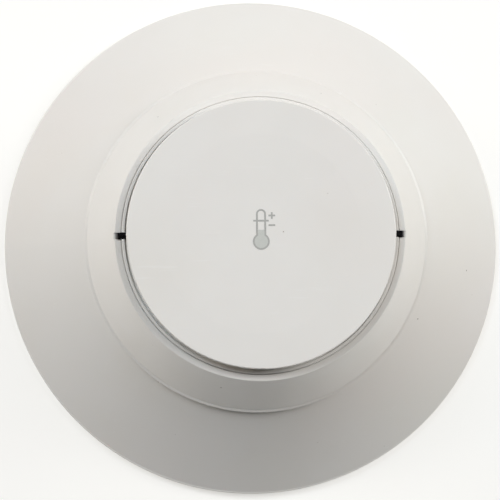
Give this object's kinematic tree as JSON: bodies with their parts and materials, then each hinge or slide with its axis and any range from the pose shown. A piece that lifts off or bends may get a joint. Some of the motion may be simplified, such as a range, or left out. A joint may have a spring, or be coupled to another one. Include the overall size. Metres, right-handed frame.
{
  "type": "heat detector",
  "caption": "Round plug-in fire alarm heat detector: a stepped white head with a front disc over an air slot, twisted into a wide conical ceiling base.",
  "frame": {"origin": "middle of the base's flat mounting face", "axes": "+Z out of the ceiling into the room, along the detector's axis; +Y is twelve o'clock on the front disc; the two light windows are on the X axis"},
  "size_m": [0.155, 0.155, 0.0515],
  "materials": {
    "white_plastic": "satin moulded, fine texture",
    "smoked_window": "polished",
    "spring_steel": "satin",
    "plated_steel": "zinc plated",
    "contact_brass": "tumbled",
    "board_laminate": "solder mask",
    "sensor_epoxy": "dipped",
    "led_lens": "clear dome",
    "dial_plastic": "moulded",
    "component_black": "moulded",
    "capacitor_sleeve": "shrink sleeve",
    "reed_glass": "clear",
    "label_film": "blank film"
  },
  "bodies": {
    "base": {"base_body": "white_plastic", "contact_spring_1": "spring_steel", "wire_clamp_1": "plated_steel", "terminal_screw_1": "plated_steel", "contact_spring_2": "spring_steel", "wire_clamp_2": "plated_steel", "terminal_screw_2": "plated_steel", "contact_spring_3": "spring_steel", "wire_clamp_3": "plated_steel", "terminal_screw_3": "plated_steel", "contact_spring_4": "spring_steel", "wire_clamp_4": "plated_steel", "terminal_screw_4": "plated_steel"},
    "lock_lever": {"lock_lever": "white_plastic"},
    "head": {"outer_housing": "white_plastic", "vent_cap": "white_plastic", "inner_baffle": "white_plastic", "rear_cover": "white_plastic", "circuit_board": "board_laminate", "thermistor_bead": "sensor_epoxy", "thermistor_leads": "plated_steel", "light_pipe_right": "smoked_window", "light_pipe_left": "smoked_window", "led_right": "led_lens", "led_left": "led_lens", "address_switch_tens": "component_black", "address_switch_units": "component_black", "microcontroller": "component_black", "smoothing_capacitors": "capacitor_sleeve", "bridge_rectifier": "component_black", "reed_switch": "reed_glass", "chip_resistors": "component_black", "rear_label": "label_film", "contact_blade_1": "contact_brass", "contact_blade_2": "contact_brass", "contact_blade_3": "contact_brass", "contact_blade_4": "contact_brass"},
    "dial_tens": {"address_dial_tens": "dial_plastic"},
    "dial_units": {"address_dial_units": "dial_plastic"}
  },
  "joints": [
    {"name": "head_twist", "type": "hinge", "parent": "base", "child": "head", "pos_m": [0, 0, 0.014], "axis": [0, 0, 1], "range_deg": [0, 20]},
    {"name": "tens_dial_turn", "type": "hinge", "parent": "head", "child": "dial_tens", "pos_m": [-0.011, -0.022, 0.0142], "axis": [0, 0, 1], "continuous": true},
    {"name": "units_dial_turn", "type": "hinge", "parent": "head", "child": "dial_units", "pos_m": [0.011, -0.022, 0.0142], "axis": [0, 0, 1], "continuous": true},
    {"name": "lock_lever_press", "type": "hinge", "parent": "base", "child": "lock_lever", "pos_m": [0.043, 0.00686, 0.0086], "axis": [0.9336, 0.3584, 0], "range_deg": [-10, 0], "stiffness_Nm_per_rad": 0.02}
  ]
}
